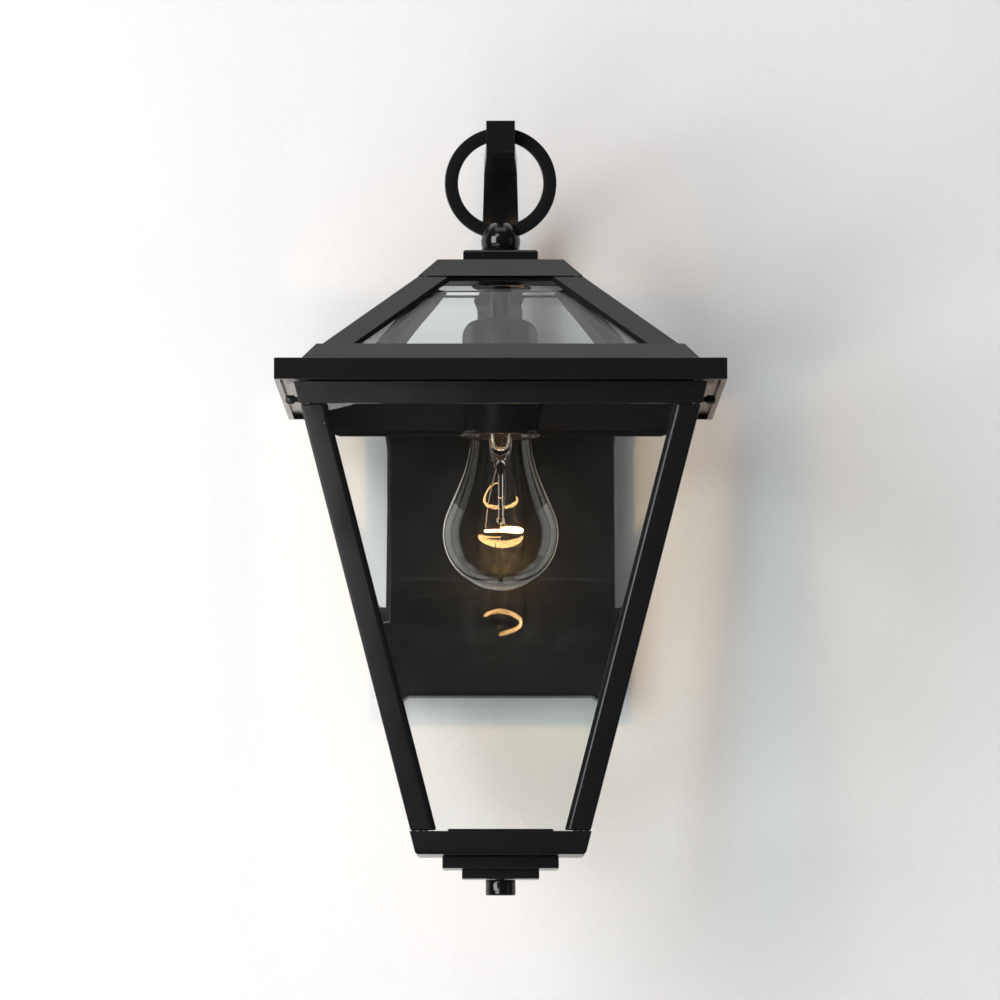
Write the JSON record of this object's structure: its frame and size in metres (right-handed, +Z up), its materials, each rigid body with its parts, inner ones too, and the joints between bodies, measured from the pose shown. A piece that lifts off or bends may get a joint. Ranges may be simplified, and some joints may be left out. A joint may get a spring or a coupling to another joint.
{
  "type": "outdoor wall lantern",
  "caption": "Tapered four-sided glass lantern with a hipped glass roof, hung by a ring from a hooked arm on a rectangular wall plate.",
  "frame": {"origin": "centre of the wall plate's back, on the wall's surface", "axes": "+Z up, +Y into the wall, the lantern stands out along -Y, +X to the right of someone who faces the wall"},
  "size_m": [0.229, 0.2628, 0.4042],
  "materials": {
    "black_coat": "satin black powder coat",
    "clear_glass": "clear bevelled plate",
    "bulb_glass": "clear blown glass",
    "brass": "plain",
    "zinc_steel": "zinc plated",
    "green_screw": "green dyed zinc",
    "porcelain": "glazed ceramic",
    "black_glass": "black base glass",
    "filament": "glowing tungsten",
    "black_insulation": "smooth insulation",
    "white_insulation": "smooth insulation",
    "orange_plastic": "moulded",
    "copper": "bare drawn copper",
    "seal_foam": "closed cell foam"
  },
  "bodies": {
    "hanger": {"wall_plate": "black_coat", "hook_arm": "black_coat", "feed_tube": "black_coat", "plate_screw_left": "black_coat", "plate_screw_right": "black_coat", "roof_skirt": "black_coat", "roof_collar": "black_coat", "roof_cap": "black_coat", "cap_plate": "black_coat", "cap_bridge": "black_coat", "hanging_ball": "black_coat", "stem_pipe": "black_coat", "stem_locknut": "black_coat", "socket_cup": "black_coat", "hip_bar_front_left": "black_coat", "hip_bar_front_right": "black_coat", "hip_bar_rear_left": "black_coat", "hip_bar_rear_right": "black_coat", "roof_pane_front": "clear_glass", "roof_pane_right": "clear_glass", "roof_pane_rear": "clear_glass", "roof_pane_left": "clear_glass", "socket_shell": "brass", "socket_contact": "brass", "mounting_bar": "zinc_steel", "arm_screw_upper": "zinc_steel", "arm_screw_lower": "zinc_steel", "ground_screw": "green_screw", "socket_body": "porcelain", "live_lead": "black_insulation", "neutral_lead": "white_insulation", "live_connector": "orange_plastic", "neutral_connector": "orange_plastic", "ground_lead": "copper", "wall_gasket": "seal_foam"},
    "cage": {"cage_rim": "black_coat", "base_band": "black_coat", "pane_retainer": "black_coat", "upper_base_plate": "black_coat", "lower_base_plate": "black_coat", "finial_stud": "zinc_steel", "stud_nut": "zinc_steel", "stile_front_left": "black_coat", "stile_front_right": "black_coat", "stile_rear_left": "black_coat", "stile_rear_right": "black_coat", "cage_pane_front": "clear_glass", "cage_pane_right": "clear_glass", "cage_pane_rear": "clear_glass", "cage_pane_left": "clear_glass"},
    "bulb": {"bulb_glass": "bulb_glass", "bulb_base": "brass", "bulb_insulator": "black_glass", "bulb_contact": "zinc_steel", "bulb_mount": "bulb_glass", "bulb_filament": "filament"},
    "ring": {"hanging_ring": "black_coat"},
    "knob": {"finial_knob": "black_coat"},
    "screw_left": {"thumb_screw_left": "black_coat"},
    "screw_right": {"thumb_screw_right": "black_coat"}
  },
  "joints": [
    {"name": "cage_drop", "type": "slide", "parent": "hanger", "child": "cage", "axis": [0, 0, -1], "range_m": [0, 0.12]},
    {"name": "bulb_turn", "type": "hinge", "parent": "hanger", "child": "bulb", "pos_m": [0, -0.1483, 0], "axis": [0, 0, 1], "continuous": true},
    {"name": "ring_turn", "type": "hinge", "parent": "hanger", "child": "ring", "pos_m": [0, -0.1483, 0.1708], "axis": [0, 1, 0], "continuous": true},
    {"name": "knob_turn", "type": "hinge", "parent": "cage", "child": "knob", "pos_m": [0, -0.1483, -0.198], "axis": [0, 0, 1], "continuous": true},
    {"name": "screw_left_turn", "type": "hinge", "parent": "cage", "child": "screw_left", "pos_m": [-0.105, -0.1893, 0.0532], "axis": [-1, 0, 0], "continuous": true},
    {"name": "screw_right_turn", "type": "hinge", "parent": "cage", "child": "screw_right", "pos_m": [0.105, -0.1893, 0.0532], "axis": [1, 0, 0], "continuous": true}
  ]
}
